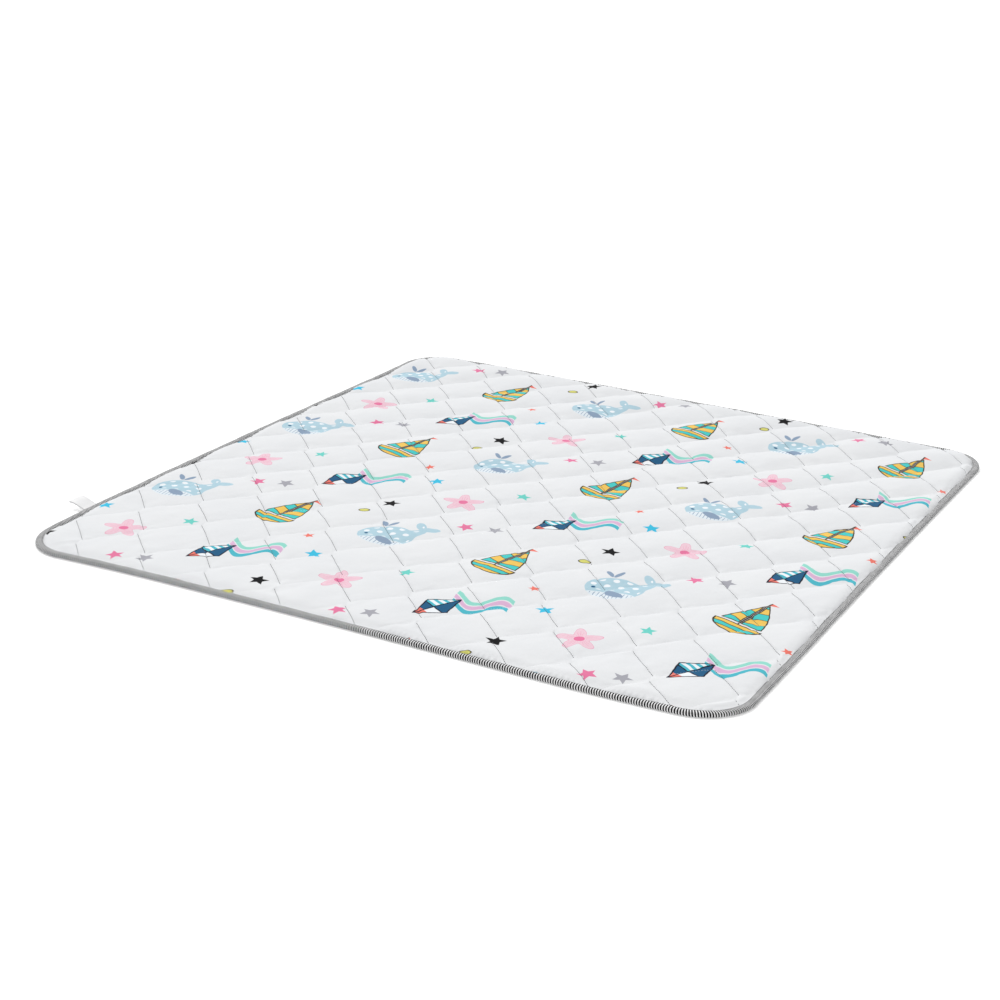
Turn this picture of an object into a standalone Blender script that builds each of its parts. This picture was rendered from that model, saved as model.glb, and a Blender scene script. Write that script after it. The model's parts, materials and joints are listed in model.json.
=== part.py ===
# Quilted baby play mat: a padded mat of diamond quilting, its edge bound all
# round with striped tape, and a small blank tab sewn to one side.
#
# Units are metres, +Z is up. The origin is the middle of the underside, on the
# floor. +X runs along the front edge, +Y away from it, along the long side.

import math

import bmesh
import bpy
from mathutils import Vector

# Overall size, over the binding
MAT_WIDTH = 0.990
MAT_LENGTH = 1.050
CORNER_RADIUS = 0.068
CORNER_STEPS = 9
SIDE_STEPS = 14

# The edges lie a little bowed, in metres at the middle of each edge
FRONT_PULLED_IN = 0.007
BACK_PUSHED_OUT = 0.003
LEFT_PUSHED_OUT = 0.004
RIGHT_PULLED_IN = 0.003

# Two front corners lie a little out of square: corner, then its shift
SHIFTED_CORNERS = ((-0.495, -0.525, 0.006, -0.006), (0.495, -0.525, -0.002, 0.012))
CORNER_SHIFT_REACH = 0.12

# Quilting: two families of stitch lines that cross in diamonds
FALLING_PITCH = 0.0802
FALLING_ANGLE = math.radians(37.9)
FALLING_SHIFT = 0.0309
RISING_PITCH = 0.0789
RISING_ANGLE = math.radians(-37.1)
RISING_SHIFT = 0.2850
CUTS_IN_PITCH = (0.0, 0.10, 0.45, 0.85)

# Heights above the floor
SEAM_HEIGHT = 0.0056
CROWN_HEIGHT = 0.0094
CROWN_SPREAD = 0.10
ROUND_AT_FAR_SIDE = 0.50
ROUND_AT_NEAR_SIDE = 0.92
FALLING_DIP = 0.50
EDGE_RAMP = 0.0100
BACK_SWELL = 0.0034
BACK_SWELL_FROM = 0.40
BACK_SWELL_OVER = 0.08
UNEVEN_COLUMNS = (2.3, 1.7)
UNEVEN_ROWS = (1.1, -2.9)

# The rim is squeezed thin inside the binding
RIM_INSET = 0.0040
RIM_UNDERSIDE = 0.00165
RIM_TOP = 0.0040
RIM_TOP_AT_TAPE_EDGE = 0.0034
TAPE_WIDTH = 0.0098
TAPE_EDGE_RING = 0.0103
GAP = 0.0003
UNDERSIDE_RING = 0.034

# Points nearer than this are one point, so that no cut leaves a sliver
MERGE_DISTANCE = 0.0012
SHORTEST_EDGE = 0.0008

# Folded tape in section: (inward from the outer edge, height), going round
TAPE_SECTION = (
    (0.0098, 0.0000), (0.0026, 0.0000), (0.0008, 0.0009), (0.0000, 0.0029),
    (0.0008, 0.0049), (0.0026, 0.0058), (0.0060, 0.0058), (0.0098, 0.0051),
    (0.0098, 0.0039), (0.0060, 0.0045), (0.0031, 0.0045), (0.0019, 0.0040),
    (0.00135, 0.0029), (0.0019, 0.0018), (0.0031, 0.0013), (0.0098, 0.0013),
)

# Blank tab on the left edge
TAB_WIDTH = 0.026
TAB_LENGTH = 0.0265
TAB_THICKNESS = 0.0010
TAB_FROM_FRONT = 0.156
TAB_ROOT_HEIGHT = 0.0034
TAB_TIP_HEIGHT = 0.0105
TAB_CURL = 0.0016
TAB_BEND = 1.4
TAB_STEPS = 8

OBJECT_NAME = "baby_play_mat"


def clear_scene():
    for thing in list(bpy.data.objects):
        bpy.data.objects.remove(thing, do_unlink=True)


def object_collection():
    collection = bpy.data.collections.new(OBJECT_NAME)
    bpy.context.scene.collection.children.link(collection)
    return collection


def cloth_material(name, colour, roughness):
    material = bpy.data.materials.new(name)
    material.use_nodes = True
    shader = material.node_tree.nodes["Principled BSDF"]
    shader.inputs["Base Color"].default_value = (*colour, 1.0)
    shader.inputs["Roughness"].default_value = roughness
    shader.inputs["Metallic"].default_value = 0.0
    return material


def settled(x, y):
    """Move a plan point to where the bowed cloth lies."""
    along_x = math.cos(math.pi * x / MAT_WIDTH)
    along_y = math.cos(math.pi * y / MAT_LENGTH)
    to_front = 0.5 - y / MAT_LENGTH
    to_left = 0.5 - x / MAT_WIDTH
    shift_y = along_x * (FRONT_PULLED_IN * to_front + BACK_PUSHED_OUT * (1 - to_front))
    shift_x = along_y * (-LEFT_PUSHED_OUT * to_left - RIGHT_PULLED_IN * (1 - to_left))
    for corner_x, corner_y, by_x, by_y in SHIFTED_CORNERS:
        away = math.hypot(x - corner_x, y - corner_y) / CORNER_SHIFT_REACH
        shift_x += by_x * math.exp(-away * away)
        shift_y += by_y * math.exp(-away * away)
    return x + shift_x, y + shift_y


def outline(inset):
    """Rounded rectangle, counter-clockwise from above, inset from the outer edge."""
    points = []
    radius = CORNER_RADIUS - inset
    half_x = MAT_WIDTH / 2 - CORNER_RADIUS
    half_y = MAT_LENGTH / 2 - CORNER_RADIUS
    corners = ((half_x, -half_y, -90), (half_x, half_y, 0),
               (-half_x, half_y, 90), (-half_x, -half_y, 180))
    for index, (cx, cy, start) in enumerate(corners):
        arc = []
        for step in range(CORNER_STEPS + 1):
            angle = math.radians(start + 90 * step / CORNER_STEPS)
            arc.append((cx + radius * math.cos(angle), cy + radius * math.sin(angle)))
        points.extend(arc)
        next_x, next_y, next_start = corners[(index + 1) % 4]
        first = math.radians(next_start)
        end = (next_x + radius * math.cos(first), next_y + radius * math.sin(first))
        for step in range(1, SIDE_STEPS):
            share = step / SIDE_STEPS
            points.append((arc[-1][0] * (1 - share) + end[0] * share,
                           arc[-1][1] * (1 - share) + end[1] * share))
    return points


def depth_inside(x, y):
    """Distance of a plan point from the mat's outer edge, positive inside."""
    out_x = abs(x) - (MAT_WIDTH / 2 - CORNER_RADIUS)
    out_y = abs(y) - (MAT_LENGTH / 2 - CORNER_RADIUS)
    if out_x > 0 and out_y > 0:
        return CORNER_RADIUS - math.hypot(out_x, out_y)
    return CORNER_RADIUS - max(out_x, out_y)


def lattice(x, y):
    """Place of a plan point in the quilting, in pitches across each family."""
    front_x = x + MAT_WIDTH / 2
    front_y = y + MAT_LENGTH / 2
    falling = (front_x * math.cos(FALLING_ANGLE) + front_y * math.sin(FALLING_ANGLE)) / FALLING_PITCH
    rising = (front_x * math.cos(RISING_ANGLE) + front_y * math.sin(RISING_ANGLE)) / RISING_PITCH
    return falling - FALLING_SHIFT, rising - RISING_SHIFT


def smooth_step(value):
    value = min(max(value, 0.0), 1.0)
    return value * value * (3 - 2 * value)


def top_height(x, y):
    """Height of the quilted top: rolls between the rising lines, dipping on the falling ones."""
    falling, rising = lattice(x, y)
    column, row = math.floor(falling), math.floor(rising)
    row_share = rising - row
    roundness = ROUND_AT_FAR_SIDE * (1 - row_share) + ROUND_AT_NEAR_SIDE * row_share
    roll = max(math.sin(math.pi * row_share), 0.0) ** roundness
    dip = 1 - FALLING_DIP * (1 - abs(math.sin(math.pi * falling)))
    uneven = (math.sin(UNEVEN_COLUMNS[0] * column + UNEVEN_COLUMNS[1] * row)
              * math.sin(UNEVEN_ROWS[0] * column + UNEVEN_ROWS[1] * row))
    crown = (CROWN_HEIGHT - SEAM_HEIGHT) * (1 + CROWN_SPREAD * uneven)
    depth = depth_inside(x, y)
    ramp = smooth_step((depth - TAPE_WIDTH) / EDGE_RAMP)
    under_tape = min((depth - RIM_INSET) / (TAPE_EDGE_RING - RIM_INSET), 1.0)
    rim = RIM_TOP * (1 - under_tape) + RIM_TOP_AT_TAPE_EDGE * under_tape
    swell = BACK_SWELL * smooth_step((y - BACK_SWELL_FROM) / BACK_SWELL_OVER)
    quilted = SEAM_HEIGHT + crown * roll * dip + swell
    return rim * (1 - ramp) + quilted * ramp


def cut_along_lattice(mesh, pitch, angle, shift):
    """Cut every face along one family of stitch lines and the lines between them."""
    normal = Vector((math.cos(angle), math.sin(angle), 0.0))
    front_left = Vector((-MAT_WIDTH / 2, -MAT_LENGTH / 2, 0.0))
    reach = [normal.dot(Vector((sx * MAT_WIDTH / 2, sy * MAT_LENGTH / 2, 0.0)) - front_left)
             for sx in (-1, 1) for sy in (-1, 1)]
    first = math.floor(min(reach) / pitch) - 1
    last = math.ceil(max(reach) / pitch) + 1
    for line in range(first, last):
        for part in CUTS_IN_PITCH:
            distance = (line + part + shift) * pitch
            bmesh.ops.bisect_plane(mesh, geom=mesh.verts[:] + mesh.edges[:] + mesh.faces[:],
                                   dist=1e-6, plane_co=front_left + normal * distance, plane_no=normal)


def ring_of_faces(mesh, outer, inner):
    count = len(outer)
    for index in range(count):
        after = (index + 1) % count
        mesh.faces.new((outer[index], outer[after], inner[after], inner[index]))


def loop_vertices(mesh, points, height):
    return [mesh.verts.new((x, y, height)) for x, y in points]


def quilted_mat():
    mesh = bmesh.new()
    rim = loop_vertices(mesh, outline(RIM_INSET), 0.0)
    tape_edge = loop_vertices(mesh, outline(TAPE_EDGE_RING), 0.0)
    ring_of_faces(mesh, rim, tape_edge)
    mesh.faces.new(tape_edge)
    cut_along_lattice(mesh, FALLING_PITCH, FALLING_ANGLE, FALLING_SHIFT)
    cut_along_lattice(mesh, RISING_PITCH, RISING_ANGLE, RISING_SHIFT)
    bmesh.ops.remove_doubles(mesh, verts=mesh.verts[:], dist=MERGE_DISTANCE)
    bmesh.ops.dissolve_degenerate(mesh, edges=mesh.edges[:], dist=SHORTEST_EDGE)
    top_verts = mesh.verts[:]
    rim_edges = [edge for edge in mesh.edges if edge.is_boundary]

    # Wall and underside: each is an extrusion of the edge loop before it
    underside = ((RIM_INSET, RIM_UNDERSIDE), (TAPE_EDGE_RING, RIM_UNDERSIDE), (UNDERSIDE_RING, 0.0))
    loop = rim_edges
    now_at = RIM_INSET
    for inset, height in underside:
        made = bmesh.ops.extrude_edge_only(mesh, edges=loop)
        verts = [item for item in made["geom"] if isinstance(item, bmesh.types.BMVert)]
        loop = [item for item in made["geom"] if isinstance(item, bmesh.types.BMEdge)]
        for vert in verts:
            inward = inward_direction(vert.co.x, vert.co.y)
            vert.co.x += inward[0] * (inset - now_at)
            vert.co.y += inward[1] * (inset - now_at)
            vert.co.z = height
        now_at = inset
    bmesh.ops.contextual_create(mesh, geom=loop)

    for vert in top_verts:
        vert.co.z = top_height(vert.co.x, vert.co.y)
    for vert in mesh.verts:
        vert.co.x, vert.co.y = settled(vert.co.x, vert.co.y)
    bmesh.ops.triangulate(mesh, faces=mesh.faces[:], quad_method="BEAUTY", ngon_method="BEAUTY")
    bmesh.ops.recalc_face_normals(mesh, faces=mesh.faces[:])
    return mesh


def inward_direction(x, y):
    """Unit direction from a rim point towards the inside of the mat."""
    out_x = abs(x) - (MAT_WIDTH / 2 - CORNER_RADIUS)
    out_y = abs(y) - (MAT_LENGTH / 2 - CORNER_RADIUS)
    if out_x > 0 and out_y > 0:
        size = math.hypot(out_x, out_y)
        return -math.copysign(out_x / size, x), -math.copysign(out_y / size, y)
    if out_x > out_y:
        return -math.copysign(1.0, x), 0.0
    return 0.0, -math.copysign(1.0, y)


def edge_binding():
    mesh = bmesh.new()
    loops = []
    for inset, height in TAPE_SECTION:
        points = [settled(x, y) for x, y in outline(inset)]
        loops.append(loop_vertices(mesh, points, height))
    for index, loop in enumerate(loops):
        ring_of_faces(mesh, loop, loops[(index + 1) % len(loops)])
    bmesh.ops.recalc_face_normals(mesh, faces=mesh.faces[:])
    return mesh


def side_label():
    """Tab that stands out of the binding and lifts off the floor at its tip."""
    mesh = bmesh.new()
    middle_y = -MAT_LENGTH / 2 + TAB_FROM_FRONT
    root_x = settled(-MAT_WIDTH / 2, middle_y)[0] - GAP
    rows = []
    for step in range(TAB_STEPS + 1):
        share = step / TAB_STEPS
        row = []
        for side in (-0.5, 0.0, 0.5):
            lift = (TAB_TIP_HEIGHT - TAB_ROOT_HEIGHT) * math.sin(share * math.pi / 2) ** TAB_BEND
            curl = TAB_CURL * share * (2 * side) ** 2
            row.append(mesh.verts.new((root_x - TAB_LENGTH * share,
                                       middle_y + TAB_WIDTH * side,
                                       TAB_ROOT_HEIGHT + lift - curl)))
        rows.append(row)
    for lower, upper in zip(rows, rows[1:]):
        for column in range(2):
            mesh.faces.new((lower[column], lower[column + 1], upper[column + 1], upper[column]))
    bmesh.ops.recalc_face_normals(mesh, faces=mesh.faces[:])
    return mesh


def add_object(collection, name, mesh, material, smooth_angle):
    data = bpy.data.meshes.new(name)
    mesh.to_mesh(data)
    mesh.free()
    data.shade_smooth()
    data.set_sharp_from_angle(angle=math.radians(smooth_angle))
    data.materials.append(material)
    thing = bpy.data.objects.new(name, data)
    collection.objects.link(thing)
    return thing


clear_scene()
parts = object_collection()
cotton = cloth_material("printed_cotton", (0.87, 0.88, 0.90), 0.9)
ticking = cloth_material("striped_tape", (0.33, 0.33, 0.34), 0.8)
satin = cloth_material("label_tape", (0.92, 0.92, 0.92), 0.6)
add_object(parts, "quilted_mat", quilted_mat(), cotton, 40)
add_object(parts, "edge_binding", edge_binding(), ticking, 50)
tab = add_object(parts, "side_label", side_label(), satin, 40)
wall = tab.modifiers.new("tape_thickness", "SOLIDIFY")
wall.thickness = TAB_THICKNESS
wall.offset = 0.0
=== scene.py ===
# %% [markdown]
# # A quilted play mat for a baby
# The real mat is a sandwich of printed cotton, wadding and backing cloth. A quilting machine sews
# it through in slanting lines that cross in diamonds, and each diamond puffs up between its
# stitch lines. The raw edge is closed with a folded tape of striped ticking.
#
# This script dresses the mat's plain solids. The quilted top, the stitches, the tape and the tab
# are modelled as meshes, and the print, the stripes and the weaves are made in materials.

# %% Load the solids
import json
import math
from functools import reduce

import bpy
import numpy as np
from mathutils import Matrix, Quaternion, Vector

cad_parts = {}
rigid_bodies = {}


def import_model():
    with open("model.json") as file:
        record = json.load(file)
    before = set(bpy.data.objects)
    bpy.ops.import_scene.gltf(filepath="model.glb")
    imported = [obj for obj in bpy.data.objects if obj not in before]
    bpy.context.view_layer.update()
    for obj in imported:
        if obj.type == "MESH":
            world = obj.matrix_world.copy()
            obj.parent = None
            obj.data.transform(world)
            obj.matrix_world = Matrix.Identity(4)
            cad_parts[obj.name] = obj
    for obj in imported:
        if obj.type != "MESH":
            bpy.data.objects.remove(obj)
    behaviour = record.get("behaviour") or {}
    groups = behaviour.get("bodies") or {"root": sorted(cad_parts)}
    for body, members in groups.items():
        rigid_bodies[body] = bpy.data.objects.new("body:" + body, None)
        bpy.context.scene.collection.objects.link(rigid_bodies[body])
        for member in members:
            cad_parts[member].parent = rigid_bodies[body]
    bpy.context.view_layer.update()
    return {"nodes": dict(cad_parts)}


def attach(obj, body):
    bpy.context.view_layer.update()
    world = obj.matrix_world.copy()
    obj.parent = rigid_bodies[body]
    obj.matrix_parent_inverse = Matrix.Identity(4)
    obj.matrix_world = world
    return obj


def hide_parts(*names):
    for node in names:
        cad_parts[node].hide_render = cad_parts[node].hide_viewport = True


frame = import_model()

print("solids:", sorted(frame["nodes"]))

# %% [markdown]
# ## The camera
# The mat's four edges meet in two vanishing points, and these give the lens and the tilt. The
# camera stands about 2.7 m off, low over the near corner, and leans by two degrees.

# %% Set up the camera
CAMERA_PLACE = Vector((1.1109, -2.2595, 0.9344))
CAMERA_AIM = Vector((-0.0484, -0.0329, 0.0))
CAMERA_ROLL = math.radians(2.0)
LENS_MM = 69.05


def in_scene(name, data):
    thing = bpy.data.objects.new(name, data)
    bpy.context.scene.collection.objects.link(thing)
    return thing


camera_data = bpy.data.cameras.new("camera")
camera_data.lens = LENS_MM
camera_data.sensor_width = 36.0
camera = in_scene("camera", camera_data)
camera.location = CAMERA_PLACE
camera.rotation_mode = "QUATERNION"
looking = (CAMERA_AIM - CAMERA_PLACE).to_track_quat("-Z", "Y")
camera.rotation_quaternion = looking @ Quaternion((0.0, 0.0, 1.0), CAMERA_ROLL)
bpy.context.scene.camera = camera
print("camera stands", round((CAMERA_AIM - CAMERA_PLACE).length, 2), "m from the mat's middle")

# %% [markdown]
# ## Sums with node sockets
# Both kinds of node tree used here, for geometry and for materials, work things out with Math
# nodes. `Term` wraps a socket so that a formula can be written as a line of Python: each plus,
# times or `lowest` adds one Math node to the tree. `wired` makes any other node in one line.

# %% A socket that sums like a number
class Term:
    def __init__(self, tree, socket):
        self.tree = tree
        self.socket = socket

    def __add__(self, other):
        return worked("ADD", self, other)

    def __radd__(self, other):
        return worked("ADD", other, self)

    def __sub__(self, other):
        return worked("SUBTRACT", self, other)

    def __rsub__(self, other):
        return worked("SUBTRACT", other, self)

    def __mul__(self, other):
        return worked("MULTIPLY", self, other)

    def __rmul__(self, other):
        return worked("MULTIPLY", other, self)

    def __truediv__(self, other):
        return worked("DIVIDE", self, other)

    def __pow__(self, other):
        return worked("POWER", self, other)

    def __abs__(self):
        return worked("ABSOLUTE", self)


def wired(tree, kind, inputs, **settings):
    """A new node with its settings made, and each input linked to a socket or given its value."""
    node = tree.nodes.new(kind)
    for name, value in settings.items():
        setattr(node, name, value)
    for name, value in inputs.items():
        value = value.socket if isinstance(value, Term) else value
        if isinstance(value, bpy.types.NodeSocket):
            tree.links.new(value, node.inputs[name])
        else:
            node.inputs[name].default_value = value
    return node


def tree_of(values):
    return next(value.tree for value in values if isinstance(value, Term))


def worked(operation, *values, clamped=False):
    tree = tree_of(values)
    node = wired(tree, "ShaderNodeMath", dict(enumerate(values)), operation=operation, use_clamp=clamped)
    return Term(tree, node.outputs[0])


def lowest(*terms):
    return reduce(lambda first, second: worked("MINIMUM", first, second), terms)


def highest(*terms):
    return reduce(lambda first, second: worked("MAXIMUM", first, second), terms)


def fade(term, start, end):
    """0 up to start, 1 past end, smooth between."""
    node = wired(term.tree, "ShaderNodeMapRange", {"Value": term, "From Min": start, "From Max": end},
                 interpolation_type="SMOOTHSTEP")
    return Term(term.tree, node.outputs["Result"])


def joined(x, y, z=0.0):
    tree = tree_of((x, y, z))
    return Term(tree, wired(tree, "ShaderNodeCombineXYZ", dict(enumerate((x, y, z)))).outputs[0])


def parted(tree, socket):
    """The first two parts of a vector."""
    parts = wired(tree, "ShaderNodeSeparateXYZ", {0: socket})
    return Term(tree, parts.outputs[0]), Term(tree, parts.outputs[1])


def mottle(vector, scale, detail=2.0):
    """Soft noise from 0 to 1, about 0.5."""
    node = wired(vector.tree, "ShaderNodeTexNoise", {"Vector": vector, "Scale": scale, "Detail": detail})
    return Term(vector.tree, node.outputs[0])


print("sums ready:", sorted(name for name in vars(Term) if name.startswith("__")))

# %% [markdown]
# ## The plan of the mat
# From above the mat is a rectangle with round corners, 0.99 by 1.05 m over its tape. No soft edge
# lies quite straight, so `settled` bows each edge by a few millimetres and moves the two front
# corners a little out of square. Every piece takes its plan from these functions, so the pieces
# stay in step.

# %% Outline, depth and bow
MAT_WIDTH = 0.990
MAT_LENGTH = 1.050
CORNER_RADIUS = 0.068
BOW_FRONT = 0.007
BOW_BACK = 0.003
BOW_LEFT = 0.004
BOW_RIGHT = 0.003
SHIFTED_CORNERS = (
    # corner's place across and along, its shift across and along
    (-0.495, -0.525, 0.006, -0.006),
    (0.495, -0.525, -0.002, 0.012),
)
CORNER_SHIFT_REACH = 0.12
END_ZONE = (0.44, 0.51)
STRAIGHT_X = MAT_WIDTH - 2 * CORNER_RADIUS
STRAIGHT_Y = MAT_LENGTH - 2 * CORNER_RADIUS
CORNER_ARC = CORNER_RADIUS * math.pi / 2
EDGE_ROUND = 2 * (STRAIGHT_X + STRAIGHT_Y) + 4 * CORNER_ARC


def settled(x, y):
    along_x = np.cos(math.pi * x / MAT_WIDTH)
    along_y = np.cos(math.pi * y / MAT_LENGTH)
    to_front = 0.5 - y / MAT_LENGTH
    to_left = 0.5 - x / MAT_WIDTH
    shift_y = along_x * (BOW_FRONT * to_front + BOW_BACK * (1 - to_front))
    shift_x = along_y * (-BOW_LEFT * to_left - BOW_RIGHT * (1 - to_left))
    for corner_x, corner_y, by_x, by_y in SHIFTED_CORNERS:
        away = np.hypot(x - corner_x, y - corner_y) / CORNER_SHIFT_REACH
        shift_x = shift_x + by_x * np.exp(-away * away)
        shift_y = shift_y + by_y * np.exp(-away * away)
    return x + shift_x, y + shift_y


def past_straights(x, y):
    """How far a place lies past the straight run of each edge, and whether it's in a corner."""
    out_x = np.abs(x) - STRAIGHT_X / 2
    out_y = np.abs(y) - STRAIGHT_Y / 2
    return out_x, out_y, (out_x > 0) & (out_y > 0)


def depth_inside(x, y):
    """Distance in from the outer edge of the tape."""
    out_x, out_y, in_corner = past_straights(x, y)
    return CORNER_RADIUS - np.where(in_corner, np.hypot(out_x, out_y), np.maximum(out_x, out_y))


def outward(x, y):
    """Unit direction from a plan point straight to the nearest edge."""
    out_x, out_y, in_corner = past_straights(x, y)
    size = np.maximum(np.hypot(out_x, out_y), 1e-9)
    side_x = np.where(in_corner, out_x / size, (out_x >= out_y) * 1.0)
    side_y = np.where(in_corner, out_y / size, (out_x < out_y) * 1.0)
    return side_x * np.sign(x), side_y * np.sign(y)


def fade_number(value, start, end):
    share = np.clip((value - start) / (end - start), 0, 1)
    return share * share * (3 - 2 * share)


def near_end(y, end):
    """1 along the front (-1) or back (1) edge, fading to 0 round its corners."""
    return fade_number(end * y, *END_ZONE)


def round_the_edge(distance):
    """Point on the outer edge, and its outward direction, a distance along from the front's left end."""
    x = np.zeros_like(distance)
    y = np.zeros_like(distance)
    out_x = np.zeros_like(distance)
    out_y = np.zeros_like(distance)
    begun = 0.0
    sides = ((STRAIGHT_X, 0), (STRAIGHT_Y, 90), (STRAIGHT_X, 180), (STRAIGHT_Y, 270))
    for length, heading in sides:
        turn = math.radians(heading)
        forward = (math.cos(turn), math.sin(turn))
        out = (math.sin(turn), -math.cos(turn))
        half_across = (MAT_LENGTH if heading % 180 == 0 else MAT_WIDTH) / 2
        on = (distance >= begun) & (distance <= begun + length)
        step = distance[on] - begun - length / 2
        x[on] = forward[0] * step + out[0] * half_across
        y[on] = forward[1] * step + out[1] * half_across
        out_x[on], out_y[on] = out
        begun += length
        on = (distance > begun) & (distance < begun + CORNER_ARC)
        angle = turn - math.pi / 2 + (distance[on] - begun) / CORNER_RADIUS
        centre_x = forward[0] * length / 2 + out[0] * (half_across - CORNER_RADIUS)
        centre_y = forward[1] * length / 2 + out[1] * (half_across - CORNER_RADIUS)
        out_x[on], out_y[on] = np.cos(angle), np.sin(angle)
        x[on] = centre_x + CORNER_RADIUS * np.cos(angle)
        y[on] = centre_y + CORNER_RADIUS * np.sin(angle)
        begun += CORNER_ARC
    return x, y, out_x, out_y


print("edge all round:", round(EDGE_ROUND, 3), "m")

# %% [markdown]
# ## The quilting lattice
# Two families of stitch lines cross the mat. One falls to the right seen from the front edge and
# the other rises, each about 80 mm from line to line, so the diamonds are about 100 by 130 mm.
# A place on the cloth is given by two numbers, `falling` and `rising`: whole numbers are lines.
# A row of needles sews the diamonds as zigzags that run from left to right, and where two zigzags
# meet, their points stop some thirteen millimetres short of each other. So no two lines really cross.

# %% Between plan and lattice
FALLING_PITCH = 0.0802
FALLING_ANGLE = math.radians(37.9)
FALLING_SHIFT = 0.0309
RISING_PITCH = 0.0789
RISING_ANGLE = math.radians(-37.1)
RISING_SHIFT = 0.2850

ACROSS = np.array([[math.cos(FALLING_ANGLE), math.sin(FALLING_ANGLE)],
                   [math.cos(RISING_ANGLE), math.sin(RISING_ANGLE)]])
BACK_TO_PLAN = np.linalg.inv(ACROSS)


def plan_of(falling, rising):
    across_falling = (falling + FALLING_SHIFT) * FALLING_PITCH
    across_rising = (rising + RISING_SHIFT) * RISING_PITCH
    x = BACK_TO_PLAN[0, 0] * across_falling + BACK_TO_PLAN[0, 1] * across_rising - MAT_WIDTH / 2
    y = BACK_TO_PLAN[1, 0] * across_falling + BACK_TO_PLAN[1, 1] * across_rising - MAT_LENGTH / 2
    return x, y


def lattice_of(x, y):
    across = ACROSS @ np.array([x + MAT_WIDTH / 2, y + MAT_LENGTH / 2])
    return across[0] / FALLING_PITCH - FALLING_SHIFT, across[1] / RISING_PITCH - RISING_SHIFT


POINTS_APART = 0.0135
TURN_SHARE = 0.012
DRIFT = 0.013


def beside_line(place):
    """1 just after a line, -1 just before it, 0 on it, and fading to 0 midway to the next."""
    past = place - np.round(place)
    return np.tanh(past / TURN_SHARE) * (1 - 2 * np.abs(past))


def sewn_plan(falling, rising):
    """Plan of a place in the lattice as the needles leave it, with their small drift."""
    wander = np.sin(1.9 * rising + 2.3 * falling) + np.sin(0.83 * rising - 1.7 * falling + 1.0)
    other = np.sin(1.3 * falling + 2.9 * rising + 2.0) + np.sin(2.2 * falling - 0.6 * rising)
    x, y = plan_of(falling + DRIFT * wander, rising + DRIFT * other)
    near_rising = np.cos(math.pi * rising) ** 4
    near_falling = np.cos(math.pi * falling) ** 2
    apart = np.clip(near_rising * beside_line(falling) - near_falling * beside_line(rising), -1, 1)
    return x, y + POINTS_APART / 2 * apart


corner_x = np.array([-1, 1, 1, -1]) * MAT_WIDTH / 2
corner_y = np.array([-1, -1, 1, 1]) * MAT_LENGTH / 2
falling_ends, rising_ends = lattice_of(corner_x, corner_y)
print("lines of each family:", int(np.ptp(falling_ends)), int(np.ptp(rising_ends)))

# %% [markdown]
# ## The cloth, flat and marked out
# Before sewing, the cloth is flat. The mesh follows the lattice, so stitch lines run along its
# edges, with closer rows near them, where the cloth bends most. Faces that reach past the edge go,
# and the last row is drawn onto the outline, where the tape hides it. Each point remembers its
# place in the lattice and its depth from the edge, for the quilting to read.

# %% Lay out one side of the cloth
RIM_INSET = 0.0040
TOP_ROWS = (24, 20)
UNDER_ROWS = (6, 6)
CLOSER_AT_FALLING = 0.86
CLOSER_AT_RISING = 0.84
LEAST_OVERHANG = 0.0015


def row_places(first, last, rows, closer):
    share = np.arange(rows) / rows
    eased = share - closer * np.sin(2 * math.pi * share) / (2 * math.pi)
    places = (np.arange(first, last)[:, None] + eased[None, :]).ravel()
    return np.append(places, last)


def one_side(rows):
    """Points, lattice places and faces of one cloth, cut to the outline."""
    across = row_places(math.floor(falling_ends.min()) - 1, math.ceil(falling_ends.max()) + 1,
                        rows[0], CLOSER_AT_FALLING)
    up = row_places(math.floor(rising_ends.min()) - 1, math.ceil(rising_ends.max()) + 1,
                    rows[1], CLOSER_AT_RISING)
    falling, rising = np.meshgrid(across, up, indexing="ij")
    x, y = sewn_plan(falling, rising)
    inside = depth_inside(x, y) > RIM_INSET + LEAST_OVERHANG
    kept = inside[:-1, :-1] & inside[1:, :-1] & inside[1:, 1:] & inside[:-1, 1:]
    for _ in range(4):
        a, b, c, d = kept[:-1, :-1], kept[1:, :-1], kept[1:, 1:], kept[:-1, 1:]
        pinched = (a & c & ~b & ~d) | (b & d & ~a & ~c)
        for block in (kept[:-1, :-1], kept[1:, :-1], kept[1:, 1:], kept[:-1, 1:]):
            block &= ~pinched
    number = np.arange(x.size).reshape(x.shape)
    faces = np.stack([number[:-1, :-1][kept], number[1:, :-1][kept],
                      number[1:, 1:][kept], number[:-1, 1:][kept]], 1)
    used, renumbered = np.unique(faces, return_inverse=True)
    faces = renumbered.reshape(faces.shape)
    return x.ravel()[used], y.ravel()[used], falling.ravel()[used], rising.ravel()[used], faces


def rim_order(x, y, faces):
    """The rim's points counter-clockwise round the mat, and whether its faces turn so too."""
    ends = np.concatenate([faces[:, [0, 1]], faces[:, [1, 2]], faces[:, [2, 3]], faces[:, [3, 0]]])
    after = {int(a): int(b) for a, b in ends}
    paired = {(int(a), int(b)) for a, b in ends}
    rim = {a: b for a, b in paired if (b, a) not in paired}
    start = min(rim, key=lambda point: y[point])
    order = [start]
    while rim[order[-1]] != start:
        order.append(rim[order[-1]])
    signed = sum(x[a] * y[b] - x[b] * y[a] for a, b in zip(order, order[1:] + order[:1]))
    return order if signed > 0 else order[::-1], signed > 0


top_x, top_y, top_falling, top_rising, top_faces = one_side(TOP_ROWS)
under_x, under_y, under_falling, under_rising, under_faces = one_side(UNDER_ROWS)
print("top:", len(top_faces), "faces; underside:", len(under_faces), "faces")

# %% [markdown]
# The two sides are drawn out to the rim and joined by a narrow wall. Their rims have different
# numbers of points, so the wall is zipped: it steps along whichever side is behind.

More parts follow.
